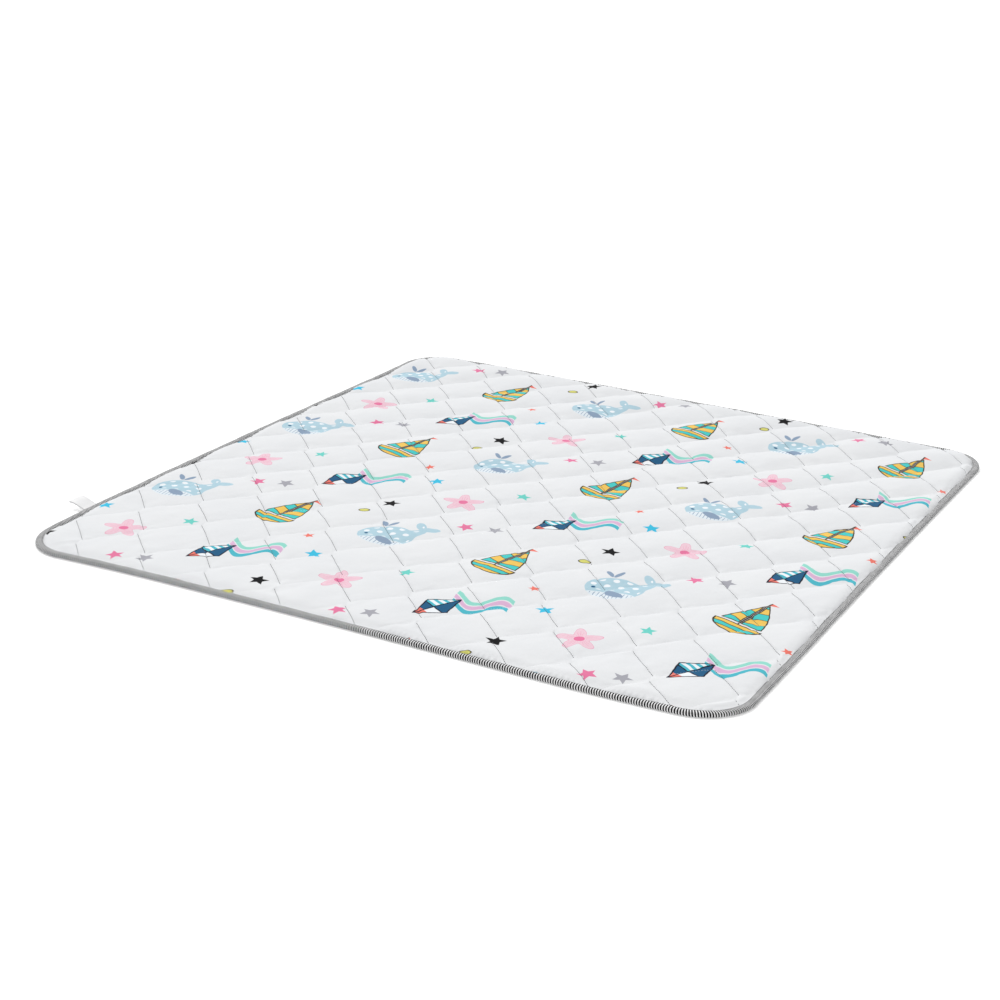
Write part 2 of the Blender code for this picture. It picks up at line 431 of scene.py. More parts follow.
# %% Join the two sides into one closed cloth
def drawn_to_rim(x, y, order):
    out_x, out_y = outward(x[order], y[order])
    reach = depth_inside(x[order], y[order]) - RIM_INSET
    x[order] += out_x * reach
    y[order] += out_y * reach


def zipped(lower, upper, lower_place, upper_place):
    """Triangles between two closed rims, given each point's angle round the mat."""
    faces = []
    i = j = 0
    while i < len(lower) or j < len(upper):
        low, low_next = lower[i % len(lower)], lower[(i + 1) % len(lower)]
        up, up_next = upper[j % len(upper)], upper[(j + 1) % len(upper)]
        place_low = lower_place[(i + 1) % len(lower)] + (i + 1) // len(lower)
        place_up = upper_place[(j + 1) % len(upper)] + (j + 1) // len(upper)
        if j >= len(upper) or (i < len(lower) and place_low <= place_up):
            faces.append((low, low_next, up))
            i += 1
        else:
            faces.append((low, up_next, up))
            j += 1
    return faces


def started_at_right(x, y, order):
    """The rim from due right of the middle on, with each point's turn round the mat from 0 to 1."""
    turn = (np.arctan2(y[order], x[order]) / (2 * math.pi)) % 1.0
    first = int(np.argmin(turn))
    order = order[first:] + order[:first]
    return order, np.roll(turn, -first)


top_rim, top_is_up = rim_order(top_x, top_y, top_faces)
under_rim, under_is_up = rim_order(under_x, under_y, under_faces)
drawn_to_rim(top_x, top_y, top_rim)
drawn_to_rim(under_x, under_y, under_rim)
top_rim, top_turn = started_at_right(top_x, top_y, top_rim)
under_rim, under_turn = started_at_right(under_x, under_y, under_rim)
TOP_COUNT = len(top_x)
under_rim_joined = [point + TOP_COUNT for point in under_rim]
wall = zipped(under_rim_joined, top_rim, under_turn, top_turn)
faces = [tuple(face) if top_is_up else tuple(face[::-1]) for face in top_faces.tolist()]
faces += [tuple(face[::-1]) if under_is_up else tuple(face)
          for face in (under_faces + TOP_COUNT).tolist()]
faces += wall
flat_x = np.concatenate([top_x, under_x])
flat_y = np.concatenate([top_y, under_y])
print("rims:", len(top_rim), "and", len(under_rim), "points; wall:", len(wall), "faces")

# %% Store the marks on the points
THICKNESS_BEFORE_SEWING = 0.004
TAPE_REACH = 0.0098
FULL_HEIGHT_AT = 0.0175
LATER_AT_FRONT = 0.012
SOONER_AT_BACK = 0.0025
BACK_SWELL = 0.0036
SWELL_ZONE = (0.40, 0.48)
ON_LINE = 1e-3
TURN_REACH = 0.018
SEWN_UNDER_TAPE = 0.0005
# Where each side of the cloth lies on the baking square: start and size
BAKE_TOP = (0.005, 0.93)
BAKE_UNDERSIDE = (0.945, 0.05)
BAKE_ALONG = (0.005, 0.99)


def mesh_from(name, points, faces, edges=()):
    mesh = bpy.data.meshes.new(name)
    mesh.from_pydata(points.tolist(), list(edges), faces)
    mesh.update()
    return mesh


def stored(mesh, name, values):
    attribute = mesh.attributes.new(name, "FLOAT", "POINT")
    attribute.data.foreach_set("value", np.asarray(values, dtype=np.float32))


def corner_points(mesh):
    """The number of the point at each corner of each face."""
    numbers = np.zeros(len(mesh.loops), dtype=np.int32)
    mesh.loops.foreach_get("vertex_index", numbers)
    return numbers


def set_map(mesh, name, u, v):
    layer = mesh.uv_layers.new(name=name)
    layer.data.foreach_set("uv", np.stack([u, v], 1).astype(np.float32).ravel())


def on_line(place, other):
    """Sewn points of one family, less the gaps between the zigzags' points."""
    between_points = np.abs(other - np.round(other)) < TURN_REACH
    return (np.abs(place - np.round(place)) < ON_LINE) & ~between_points & sewn_part


settled_x, settled_y = settled(flat_x, flat_y)
is_top = np.arange(len(flat_x)) < TOP_COUNT
points = np.stack([settled_x, settled_y, is_top * THICKNESS_BEFORE_SEWING], 1)
cloth_mesh = mesh_from("quilt_cloth", points, faces)
falling = np.concatenate([top_falling, under_falling])
rising = np.concatenate([top_rising, under_rising])
depth = depth_inside(flat_x, flat_y)
full_at = FULL_HEIGHT_AT + LATER_AT_FRONT * near_end(flat_y, -1) - SOONER_AT_BACK * near_end(flat_y, 1)
sewn_part = is_top & (depth > TAPE_REACH - SEWN_UNDER_TAPE)
for mark, values in (("falling", falling), ("rising", rising), ("depth", depth), ("top_side", is_top),
                     ("ramp", np.clip((depth - TAPE_REACH) / (full_at - TAPE_REACH), 0, 1)),
                     ("swell", BACK_SWELL * fade_number(flat_y, *SWELL_ZONE)),
                     ("sewn_falling", on_line(falling, rising)),
                     ("sewn_rising", on_line(rising, falling))):
    stored(cloth_mesh, mark, values)

corners = corner_points(cloth_mesh)
set_map(cloth_mesh, "cloth", flat_x[corners], flat_y[corners])
corners_of_top = np.arange(len(corners)) < 4 * len(top_faces)
along_width = flat_x[corners] / MAT_WIDTH + 0.5
along_length = flat_y[corners] / MAT_LENGTH + 0.5
bake_across = np.where(corners_of_top, BAKE_TOP[0] + BAKE_TOP[1] * along_width,
                       BAKE_UNDERSIDE[0] + BAKE_UNDERSIDE[1] * along_width)
set_map(cloth_mesh, "OFBake", bake_across, BAKE_ALONG[0] + BAKE_ALONG[1] * along_length)
print("cloth:", len(cloth_mesh.vertices), "points,", len(cloth_mesh.polygons), "faces")

# %% [markdown]
# ## Quilting with Geometry Nodes
# The puffs follow a rule, so a node tree makes them. The height of the cloth is low where either
# lattice number is whole and crowned between. A puff stands steeper at its far side and slopes
# down gently to its near side, and the crowns are higher toward the back and the right than at the
# front left: two inputs set how much. Along each line the cloth gathers into short puckers, strong
# at the needle and nearly gone midway between lines, and it is a little crumpled all over. The
# puffs rise late from the front tape and soon from the back one, where the cloth also stands some
# four millimetres higher. The underside only gets a shallow groove under each line, because the
# mat's weight presses it flat.

# %% Small helpers for geometry trees
def new_geometry_tree(name, sizes):
    """A tree with a named number input for each size: the tree, its start node, and the sizes."""
    tree = bpy.data.node_groups.new(name, "GeometryNodeTree")
    for side in ("INPUT", "OUTPUT"):
        tree.interface.new_socket(name="Geometry", in_out=side, socket_type="NodeSocketGeometry")
    for label, value in sizes.items():
        socket = tree.interface.new_socket(name=label, in_out="INPUT", socket_type="NodeSocketFloat")
        socket.default_value = value
    start = tree.nodes.new("NodeGroupInput")
    return tree, start, {label: Term(tree, start.outputs[label]) for label in sizes}


def marked(tree, name):
    node = wired(tree, "GeometryNodeInputNamedAttribute", {"Name": name}, data_type="FLOAT")
    return Term(tree, node.outputs["Attribute"])


def finished_by(tree, geometry, material):
    """Every tree ends in smooth, real meshes with their material set."""
    smooth = wired(tree, "GeometryNodeSetShadeSmooth", {"Geometry": geometry})
    real = wired(tree, "GeometryNodeRealizeInstances", {0: smooth.outputs[0]})
    paint = wired(tree, "GeometryNodeSetMaterial", {"Geometry": real.outputs[0], "Material": material})
    wired(tree, "NodeGroupOutput", {0: paint.outputs[0]})


def plain_piece(name, carrier):
    """The carrier as its modifier leaves it, as a plain mesh object. The carrier goes."""
    result = bpy.data.meshes.new_from_object(carrier.evaluated_get(bpy.context.evaluated_depsgraph_get()))
    result.name = name
    bpy.data.objects.remove(carrier, do_unlink=True)
    return in_scene(name, result)


def made_by_nodes(name, mesh, tree):
    carrier = in_scene(name + "_carrier", mesh)
    carrier.modifiers.new(name, "NODES").node_group = tree
    return plain_piece(name, carrier)


print_cloth = bpy.data.materials.new("printed_cotton")
# Dark grey thread, painted shade: it stands in for the shadow in the falling furrows, and on the tape it
# is its own colour and also paints the shade of the groove by the cloth
shade_thread_finish = bpy.data.materials.new("dark_thread_painted_shade")
white_thread = bpy.data.materials.new("white_thread")
tape_finish = bpy.data.materials.new("ticking_tape")
tab_finish = bpy.data.materials.new("tab_satin")
print("finishes named:", print_cloth.name, shade_thread_finish.name, tape_finish.name, tab_finish.name)

# %% The quilting tree
RIM_TOP = 0.0040
RIM_TOP_AT_TAPE = 0.0034
RIM_UNDERSIDE = 0.00165
UNDERSIDE_ZONE = (TAPE_REACH + 0.001, 0.034)
FULLNESS_AT_MIDDLE = 0.86
FURROW_POWER = 1.3
CREASE_FILLS_FURROW = 0.6
PAST_LINE = 0.0001
QUILTING_SIZES = {
    "Seam height": 0.0056, "Crown height": 0.0038, "Crown spread": 0.24,
    "Fuller to back": 0.85, "Fuller to right": 0.34,
    "Far roundness": 0.64, "Near roundness": 0.95, "Dip": 0.52, "Dip roundness": 0.80,
    "Furrow depth": 0.0014, "Furrow reach": 0.0015, "Crease depth": 0.0003,
    "Pucker height": 0.0023, "Pucker reach": 0.0130, "Pucker length": 0.0125,
    "Cloth waver": 0.0028, "Crumple": 0.0012,
    "Groove height": 0.0012, "Groove reach": 0.0040}
WAVER_GRAIN = (2.1, 2.1)
CRUMPLE_GRAIN = (3.4, 7.5)


def quilting_tree(material):
    tree, start, size = new_geometry_tree("quilting", QUILTING_SIZES)
    falling, rising = marked(tree, "falling"), marked(tree, "rising")
    depth, top_side = marked(tree, "depth"), marked(tree, "top_side")
    crosswise, lengthwise = parted(tree, tree.nodes.new("GeometryNodeInputPosition").outputs[0])

    across = abs(worked("SINE", falling * math.pi))
    row_share = rising - worked("FLOOR", rising)
    up = abs(worked("SINE", row_share * math.pi))
    corner = joined(worked("FLOOR", falling + PAST_LINE), worked("FLOOR", rising + PAST_LINE))
    cell = wired(tree, "ShaderNodeTexWhiteNoise", {"Vector": corner}, noise_dimensions="2D")
    chance = Term(tree, cell.outputs["Value"]) - 0.5
    fuller = FULLNESS_AT_MIDDLE + size["Fuller to back"] * lengthwise + size["Fuller to right"] * crosswise
    crown = size["Crown height"] * fuller * (1.0 + chance * size["Crown spread"] * across * up)
    roll = up ** (size["Far roundness"] * (1.0 - row_share) + size["Near roundness"] * row_share)
    dip = 1.0 - size["Dip"] * (1.0 - across ** size["Dip roundness"])
    quilted = size["Seam height"] + crown * roll * dip + marked(tree, "swell")

    def near_line(distance):
        """1 on a line, falling to 0 within a few millimetres."""
        return worked("EXPONENT", 0.0 - (distance / size["Furrow reach"]) ** FURROW_POWER)

    from_falling = abs(falling - worked("ROUND", falling)) * FALLING_PITCH
    from_rising = abs(rising - worked("ROUND", rising)) * RISING_PITCH
    furrow, crease = near_line(from_falling), near_line(from_rising)
    deep = size["Furrow depth"] * furrow * (1.0 - crease * CREASE_FILLS_FURROW)
    quilted = quilted - highest(deep, size["Crease depth"] * crease)

    def puckers(own, other, own_pitch, other_pitch, seed):
        line = worked("ROUND", own)
        distance = abs(own - line) * own_pitch
        spot = joined(other * other_pitch / size["Pucker length"], line * 7.31 + seed)
        wrinkle = mottle(spot, 1.0, 1.5) - 0.5
        return wrinkle * size["Pucker height"] * worked("EXPONENT", 0.0 - distance / size["Pucker reach"])

    def uneven(grain):
        return mottle(joined(falling * grain[0], rising * grain[1]), 1.0) - 0.5

    quilted = quilted + puckers(falling, rising, FALLING_PITCH, RISING_PITCH, 0.0)
    quilted = quilted + puckers(rising, falling, RISING_PITCH, FALLING_PITCH, 40.0)
    quilted = quilted + uneven(WAVER_GRAIN) * size["Cloth waver"]
    quilted = quilted + uneven(CRUMPLE_GRAIN) * size["Crumple"]

    ramp = fade(marked(tree, "ramp"), 0.0, 1.0)
    under_tape = fade(depth, RIM_INSET, TAPE_REACH)
    rim = RIM_TOP * (1.0 - under_tape) + RIM_TOP_AT_TAPE * under_tape
    top = rim * (1.0 - ramp) + quilted * ramp

    nearest = lowest(from_falling, from_rising)
    groove = size["Groove height"] * worked("EXPONENT", 0.0 - nearest / size["Groove reach"])
    under_ramp = fade(depth, *UNDERSIDE_ZONE)
    underside = RIM_UNDERSIDE * (1.0 - under_ramp) + groove * under_ramp

    height = top * top_side + underside * (1.0 - top_side)
    moved = wired(tree, "GeometryNodeSetPosition", {"Geometry": start.outputs["Geometry"],
                                                    "Position": joined(crosswise, lengthwise, height)})
    finished_by(tree, moved.outputs[0], material)
    return tree


quilt = made_by_nodes("quilted_body", cloth_mesh, quilting_tree(print_cloth))
highest_mm = 1000 * max(vertex.co.z for vertex in quilt.data.vertices)
print("quilted body:", len(quilt.data.polygons), "faces, highest", round(highest_mm, 1), "mm")

# %% [markdown]
# ## Stitches along the lines
# A quilting machine leaves a row of thread dashes in each valley. Dark grey thread on the lines
# that fall is painted shade: it stands in for the shadow in their narrow furrows. White thread
# sinks nearly unseen into the others. The same small tree sews any marked line: edges whose two
# ends carry the mark become curves, the curves are divided by the stitch pitch, and a slim
# spindle lies along the line at each division.

# %% The sewing tree
SPINDLE_FACES = 20


def sewing_tree(mark, material, pitch, length, thickness, lift):
    tree, start, size = new_geometry_tree("sewing_" + mark, {
        "Stitch pitch": pitch, "Stitch length": length, "Thread thickness": thickness, "Lift": lift})
    both_ends = worked("GREATER_THAN", marked(tree, mark), 0.99)
    curve = wired(tree, "GeometryNodeMeshToCurve",
                  {"Mesh": start.outputs["Geometry"], "Selection": both_ends})

    # Half a stitch comes off each end of a line, so that no dash reaches past it
    whole = Term(tree, tree.nodes.new("GeometryNodeSplineLength").outputs["Length"])
    trimmed = wired(tree, "GeometryNodeTrimCurve", {"Curve": curve.outputs[0]}, mode="LENGTH")
    half_pitch = size["Stitch pitch"] * 0.5
    places = [socket for socket in trimmed.inputs if socket.name in ("Start", "End") and socket.enabled]
    tree.links.new(half_pitch.socket, places[0])
    tree.links.new((whole - half_pitch).socket, places[1])

    divided = wired(tree, "GeometryNodeResampleCurve",
                    {"Curve": trimmed.outputs[0], "Length": size["Stitch pitch"]}, mode="LENGTH")
    raised = wired(tree, "GeometryNodeSetPosition",
                   {"Geometry": divided.outputs[0], "Offset": joined(0.0, 0.0, size["Lift"])})
    spindle = wired(tree, "GeometryNodeMeshIcoSphere", {"Radius": 0.5, "Subdivisions": 1})
    bake_map = wired(tree, "GeometryNodeStoreNamedAttribute",
                     {"Geometry": spindle.outputs["Mesh"], "Name": "OFBake",
                      "Value": spindle.outputs["UV Map"]}, data_type="FLOAT2", domain="CORNER")
    along = tree.nodes.new("GeometryNodeInputTangent")
    turned = wired(tree, "FunctionNodeAlignRotationToVector", {"Vector": along.outputs[0]}, axis="X")
    thick = size["Thread thickness"]
    laid = wired(tree, "GeometryNodeInstanceOnPoints",
                 {"Points": raised.outputs[0], "Instance": bake_map.outputs[0],
                  "Rotation": turned.outputs[0], "Scale": joined(size["Stitch length"], thick, thick)})
    real = wired(tree, "GeometryNodeRealizeInstances", {0: laid.outputs[0]})
    finished_by(tree, real.outputs[0], material)
    return tree


def sewn(name, mesh, mark, finish, pitch, length, thickness, lift):
    piece = made_by_nodes(name, mesh, sewing_tree(mark, finish, pitch, length, thickness, lift))
    print(name + ":", len(piece.data.polygons) // SPINDLE_FACES, "stitches")
    return piece


QUILT_STITCH = 0.0037
# The dark grey thread on the falling lines is painted shade for their narrow furrows
falling_stitches = sewn("falling_stitches", quilt.data, "sewn_falling", shade_thread_finish,
                        QUILT_STITCH, length=0.0035, thickness=0.0009, lift=0.0001)
rising_stitches = sewn("rising_stitches", quilt.data, "sewn_rising", white_thread,
                       QUILT_STITCH, length=0.0030, thickness=0.0006, lift=-0.0001)

# %% [markdown]
# ## The striped tape
# A strip of ticking about 40 mm wide is folded in half over the edge, its raw sides turned under,
# and sewn through. Here it is one layer, 23 mm over the nose, without the turned sides, which
# nobody sees. In section it is a slim hook: flat below, round at the nose, and sloping down
# over the quilting to its sewn side. The section is swept round the plan, and it swells and
# narrows a little, as tape does between the machinist's hands. Along the back edge it stands about
# 2 mm taller, since the photo shows a thin line of it over the puffs there.

# %% The tape's section
TAPE_THICK = 0.0012
TAPE_HEIGHT = 0.0058
TAPE_SIDE_HEIGHT = 0.0046
NOSE_STEPS = 11
FLAT_STEPS = 5
SECTION_STEPS = 1180


def tape_top(share):
    """Height of the tape's upper side, from over its nose at 0 to its sewn side at 1."""
    return TAPE_HEIGHT - (TAPE_HEIGHT - TAPE_SIDE_HEIGHT) * share ** 2


def tape_section():
    """Outer face and then inner face: inward distance, height, and place across the tape."""
    nose = TAPE_HEIGHT / 2
    inner_nose = nose - TAPE_THICK
    flat = TAPE_REACH - nose
    shares = [step / FLAT_STEPS for step in range(1, FLAT_STEPS + 1)]
    angles = [math.pi * step / (NOSE_STEPS - 1) for step in range(NOSE_STEPS)]

    def round_nose(radius, turns):
        return [(nose - radius * math.sin(angle), nose - radius * math.cos(angle)) for angle in turns]

    outer = [(TAPE_REACH - flat * step / FLAT_STEPS, 0.0) for step in range(FLAT_STEPS)]
    outer += round_nose(nose, angles)
    outer += [(nose + flat * share, tape_top(share)) for share in shares]
    inner = [(nose + flat * share, tape_top(share) - TAPE_THICK) for share in shares[::-1]]
    inner += round_nose(inner_nose, angles[::-1])
    inner += [(nose + flat * share, TAPE_THICK) for share in shares]
    section = np.array(outer + inner)
    run = np.hypot(*np.diff(np.vstack([section, section[:1]]), axis=0).T)
    return section, np.concatenate([[0.0], np.cumsum(run)]), len(outer)


section, across_tape, outer_count = tape_section()
TAPE_AROUND = float(across_tape[outer_count - 1])
print("tape, side to side over the nose:", round(TAPE_AROUND * 1000, 1), "mm")

# %% Sweep the tape round the mat
WIDTH_WAVER = 0.0009
HEIGHT_WAVER = 0.0006
# Each wave: how many times it goes up and down round the mat, and where it starts
WIDTH_WAVES = ((9, 0.3), (23, 1.9), (41, 4.0), (67, 2.2))
HEIGHT_WAVES = ((7, 1.1), (19, 0.4), (37, 2.7), (83, 5.1))
SEWN_SIDE_STEADIER = 0.6
BACK_STAND = 0.0019
STAND_ZONE = (0.42, 0.50)
SHARP_FROM = math.radians(50)


def waver(distance, waves, size):
    """Slow unevenness that closes on itself round the edge."""
    turn = 2 * math.pi * distance / EDGE_ROUND
    total = sum(np.sin(turn * count + phase) for count, phase in waves)
    return size * total / len(waves)


def tape_lift(height, side, distance, y):
    """Height of the tape with its waver, less at the sewn side, and its stand along the back."""
    stands = BACK_STAND * fade_number(y, *STAND_ZONE)
    taller = waver(distance, HEIGHT_WAVES, HEIGHT_WAVER)
    return height + (stands + taller * (1 - SEWN_SIDE_STEADIER * side)) * (height / TAPE_HEIGHT)


def swept_tape():
    distance = np.arange(SECTION_STEPS) / SECTION_STEPS * EDGE_ROUND
    x, y, out_x, out_y = round_the_edge(distance)
    wider = waver(distance, WIDTH_WAVES, WIDTH_WAVER)
    rows = []
    for inward, height in section:
        side = max(inward - TAPE_HEIGHT / 2, 0.0) / (TAPE_REACH - TAPE_HEIGHT / 2)
        reach = inward + wider * side
        at_x, at_y = settled(x - out_x * reach, y - out_y * reach)
        rows.append(np.stack([at_x, at_y, tape_lift(height, side, distance, y)], 1))
    return np.stack(rows, 1).reshape(-1, 3)


def closed_grid(around, across):
    """Faces of a tube that closes both ways, points numbered along the section first."""
    faces = []
    for step in range(around):
        here, there = step * across, (step + 1) % around * across
        for place in range(across):
            after = (place + 1) % across
            faces.append((here + place, there + place, there + after, here + after))
    return faces


across_count = len(section)
tape_mesh = mesh_from("edge_tape", swept_tape(), closed_grid(SECTION_STEPS, across_count))
tape_mesh.shade_smooth()
tape_mesh.set_sharp_from_angle(angle=SHARP_FROM)
tape_mesh.materials.append(tape_finish)
tape = in_scene("edge_tape", tape_mesh)
print("tape:", len(tape_mesh.polygons), "faces")

# %% [markdown]
# Two maps go on the tape. `tape` gives each point its distance along and across the cloth, in
# metres, so that the stripes can follow it round the corners. The second map lays the long strip
# out in rows on one square, for anyone who bakes the finish to a picture.

# %% Map the tape
BAKE_ROWS = 10
BAKE_EDGE = 0.004
# How far up its row each part of the tape reaches: start, end of the outer face, end of the inner
BAKE_UP_ROW = (0.03, 0.82, 0.97)

step_number, place_number = np.divmod(np.arange(SECTION_STEPS * across_count), across_count)
loop_step = np.stack([step_number, step_number + 1, step_number + 1, step_number], 1)
loop_across = np.stack([across_tape[place_number], across_tape[place_number],
                        across_tape[place_number + 1], across_tape[place_number + 1]], 1)
set_map(tape_mesh, "tape", (loop_step * EDGE_ROUND / SECTION_STEPS).ravel(), loop_across.ravel())
steps_in_row = SECTION_STEPS // BAKE_ROWS
bake_row = (step_number // steps_in_row)[:, None]
bake_u = BAKE_EDGE + (1 - 2 * BAKE_EDGE) * (loop_step - bake_row * steps_in_row) / steps_in_row
row_share = np.interp(loop_across, [0.0, TAPE_AROUND, across_tape[-1]], BAKE_UP_ROW)
set_map(tape_mesh, "OFBake", bake_u.ravel(), ((bake_row + row_share) / BAKE_ROWS).ravel())
print("tape maps:", [layer.name for layer in tape_mesh.uv_layers])

# %% [markdown]
# The tape is sewn through near its inner side, with shorter stitches than the quilting has. A
# plain loop of edges marks that line on the tape, and the sewing tree does the rest.

# %% Sew the tape on
TAPE_STITCH = 0.0028
SEAM_FROM_SIDE = 0.0013
SEAM_STEPS = 1600


def tape_seam():
    distance = np.arange(SEAM_STEPS) / SEAM_STEPS * EDGE_ROUND
    x, y, out_x, out_y = round_the_edge(distance)
    reach = TAPE_REACH - SEAM_FROM_SIDE + waver(distance, WIDTH_WAVES, WIDTH_WAVER)
    share = 1 - SEAM_FROM_SIDE / (TAPE_REACH - TAPE_HEIGHT / 2)
    at_x, at_y = settled(x - out_x * reach, y - out_y * reach)
    points = np.stack([at_x, at_y, tape_lift(tape_top(share), share, distance, y)], 1)
    edges = [(step, (step + 1) % SEAM_STEPS) for step in range(SEAM_STEPS)]
    mesh = mesh_from("tape_seam_line", points, [], edges)
    stored(mesh, "sewn_tape", np.ones(SEAM_STEPS))
    return mesh


# The tape's dark grey thread is its own colour and also painted shade for the groove between tape and
# cloth
tape_stitches = sewn("tape_stitches", tape_seam(), "sewn_tape", shade_thread_finish,
                     TAPE_STITCH, length=0.0024, thickness=0.00070, lift=0.00005)

# %% [markdown]
# ## The tab
# A short piece of woven satin tape, folded in half and caught in the edge. It is blank. The fold
# makes its far end round and springy, so it lifts off the floor and curls a little.

# %% Fold the tab
TAB_WIDTH = 0.026
TAB_REACH = 0.0260
TAB_FROM_FRONT = 0.156
TAB_ROOT = 0.0034
TAB_ROOT_CLEAR = 0.0004
TAB_TIP = 0.0105
TAB_BEND = 1.4
TAB_CURL = 0.0005
TAB_TWIST = 0.0012
TAB_LAYER = 0.00035
FOLD_RADIUS = 0.00038
FOLD_SQUASH = 0.8
FOLD_STEPS = 6
TAB_ROWS = 16
TAB_COLUMNS = 12


def tab_path():
    """Side view of the folded tape: reach out of the edge, and height over its own middle line."""
    path = [(TAB_REACH * step / TAB_ROWS, -FOLD_RADIUS * (0.5 + 0.5 * step / TAB_ROWS))
            for step in range(TAB_ROWS)]
    for step in range(FOLD_STEPS + 1):
        angle = -math.pi / 2 + math.pi * step / FOLD_STEPS
        path.append((TAB_REACH + FOLD_RADIUS * math.cos(angle) * FOLD_SQUASH,
                     FOLD_RADIUS * math.sin(angle)))
    path += [(reach, -height) for reach, height in reversed(path[:TAB_ROWS])]
    return path


def folded_tab():
    middle_y = -MAT_LENGTH / 2 + TAB_FROM_FRONT
    root_x = float(settled(np.array(-MAT_WIDTH / 2), np.array(middle_y))[0]) - TAB_ROOT_CLEAR
    path = tab_path()
    points, faces, run = [], [], [0.0]
    for (reach_a, height_a), (reach_b, height_b) in zip(path, path[1:]):
        run.append(run[-1] + math.hypot(reach_b - reach_a, height_b - height_a))
    for reach, offset in path:
        share = min(reach / TAB_REACH, 1.0)
        for column in range(TAB_COLUMNS + 1):
            side = column / TAB_COLUMNS - 0.5
            lift = (TAB_TIP - TAB_ROOT) * math.sin(share * math.pi / 2) ** TAB_BEND
            curl = TAB_CURL * share * (2 * side) ** 2 - TAB_TWIST * share * side
            points.append((root_x - reach, middle_y + TAB_WIDTH * side, TAB_ROOT + lift + offset - curl))
    across = TAB_COLUMNS + 1
    for row in range(len(path) - 1):
        for column in range(TAB_COLUMNS):
            first = row * across + column
            faces.append((first, first + 1, first + 1 + across, first + across))
    mesh = mesh_from("side_tab", np.array(points), faces)
    row, column = np.divmod(corner_points(mesh), across)
    set_map(mesh, "tab", column / TAB_COLUMNS * TAB_WIDTH, np.array(run)[row])
    return mesh, run[-1]


tab_mesh, TAB_CUT = folded_tab()
tab_mesh.shade_smooth()
tab_mesh.materials.append(tab_finish)
tab_carrier = in_scene("side_tab_carrier", tab_mesh)
layer = tab_carrier.modifiers.new("tape layer", "SOLIDIFY")
layer.thickness = TAB_LAYER
layer.offset = 0.0
tab = plain_piece("side_tab", tab_carrier)
print("tab cut length:", round(TAB_CUT * 1000, 1), "mm")

# %% [markdown]
# ## Finishes
# Cotton, thread and tape are all matt fibres with a faint bloom at grazing angles, which the
# shader's sheen gives. The parts that vary, colour, roughness and bump, come from nodes.

# %% Helpers for materials
def begin_finish(material, sheen, specular):
    material.use_nodes = True
    tree = material.node_tree
    shader = tree.nodes["Principled BSDF"]
    for name, value in (("Metallic", 0.0), ("Sheen Weight", sheen), ("Sheen Roughness", 0.5),
                        ("Specular IOR Level", specular)):
        shader.inputs[name].default_value = value
    return tree, shader


def painted(tree, shader, colour, roughness):
    tree.links.new(colour, shader.inputs["Base Color"])
    tree.links.new(roughness.socket, shader.inputs["Roughness"])


def mapped(tree, name):
    node = tree.nodes.new("ShaderNodeUVMap")
    node.uv_map = name
    return parted(tree, node.outputs[0])


def bumped(tree, shader, height, distance, strength, under=None):
    inputs = {"Distance": distance, "Strength": strength, "Height": height}
    if under is not None:
        inputs["Normal"] = under.outputs[0]
    node = wired(tree, "ShaderNodeBump", inputs)
    tree.links.new(node.outputs[0], shader.inputs["Normal"])
    return node


def srgb(red, green, blue):
    """Screen colour from 0 to 255 to the shader's linear colour."""
    def linear(value):
        value = value / 255
        return value / 12.92 if value <= 0.04045 else ((value + 0.055) / 1.055) ** 2.4
    return (linear(red), linear(green), linear(blue), 1.0)


def tinted(under, mask, colour):
    """Lays a colour over another where the mask is 1."""
    # The Mix node's inputs 6 and 7 and its output 2 are its two colours and their blend
    return wired(mask.tree, "ShaderNodeMix", {0: mask, 6: under, 7: colour}, data_type="RGBA").outputs[2]


print("white cotton, linear:", [round(value, 3) for value in srgb(236, 238, 241)])

# %% [markdown]
# ## The print
# The print is drawn with distances. Each figure is a formula that gives, for any place on the
# cloth, how far it is outside the figure, in millimetres: below zero is inside. `filled` turns
# that into ink with a crisp edge, and `drawn` inks a line of some width along the edge. All
# figures share one repeat of the cloth, and each wraps round its own middle, so none is cut off.

# %% Ink, lines and places
REPEAT_ACROSS = 0.332
REPEAT_ALONG = 0.320
INK_EDGE_MM = 0.7
STAR_NOTCH = 0.46


def filled(distance):
    """1 inside a figure, 0 outside, over an edge as soft as ink on cotton."""
    return worked("MULTIPLY_ADD", distance, -1.0 / INK_EDGE_MM, 0.5, clamped=True)


def drawn(distance, width):
    return filled(abs(distance) - width / 2)


def placed(x, y, place, turn, size=1.0):
    """Millimetres across and up in a figure's own frame, repeated over the cloth."""
    near_x = worked("WRAP", x - place[0], REPEAT_ACROSS / 2, -REPEAT_ACROSS / 2)
    near_y = worked("WRAP", y - place[1], REPEAT_ALONG / 2, -REPEAT_ALONG / 2)
    lean = math.radians(turn)
    to_mm = 1000.0 / size
    own_x = near_x * (math.cos(lean) * to_mm) + near_y * (math.sin(lean) * to_mm)
    own_y = near_y * (math.cos(lean) * to_mm) - near_x * (math.sin(lean) * to_mm)
    return own_x, own_y


def length_of(x, y):
    return (x * x + y * y) ** 0.5


def disc(x, y, centre, radius):
    return length_of(x - centre[0], y - centre[1]) - radius


def oval(x, y, centre, wide, high, turn=0.0):
    lean = math.radians(turn)
    off_x, off_y = x - centre[0], y - centre[1]
    along = (off_x * math.cos(lean) + off_y * math.sin(lean)) / wide
    up = (off_y * math.cos(lean) - off_x * math.sin(lean)) / high
    return (length_of(along, up) - 1.0) * min(wide, high)


def beyond(x, y, start, end):
    """Distance to the right of the line from start to end."""
    run_x, run_y = end[0] - start[0], end[1] - start[1]
    size = math.hypot(run_x, run_y)
    return (x - start[0]) * (run_y / size) - (y - start[1]) * (run_x / size)


def corners_in(x, y, *points):
    """A figure with straight sides, its corners given counter-clockwise."""
    return highest(*[beyond(x, y, a, b) for a, b in zip(points, points[1:] + points[:1])])


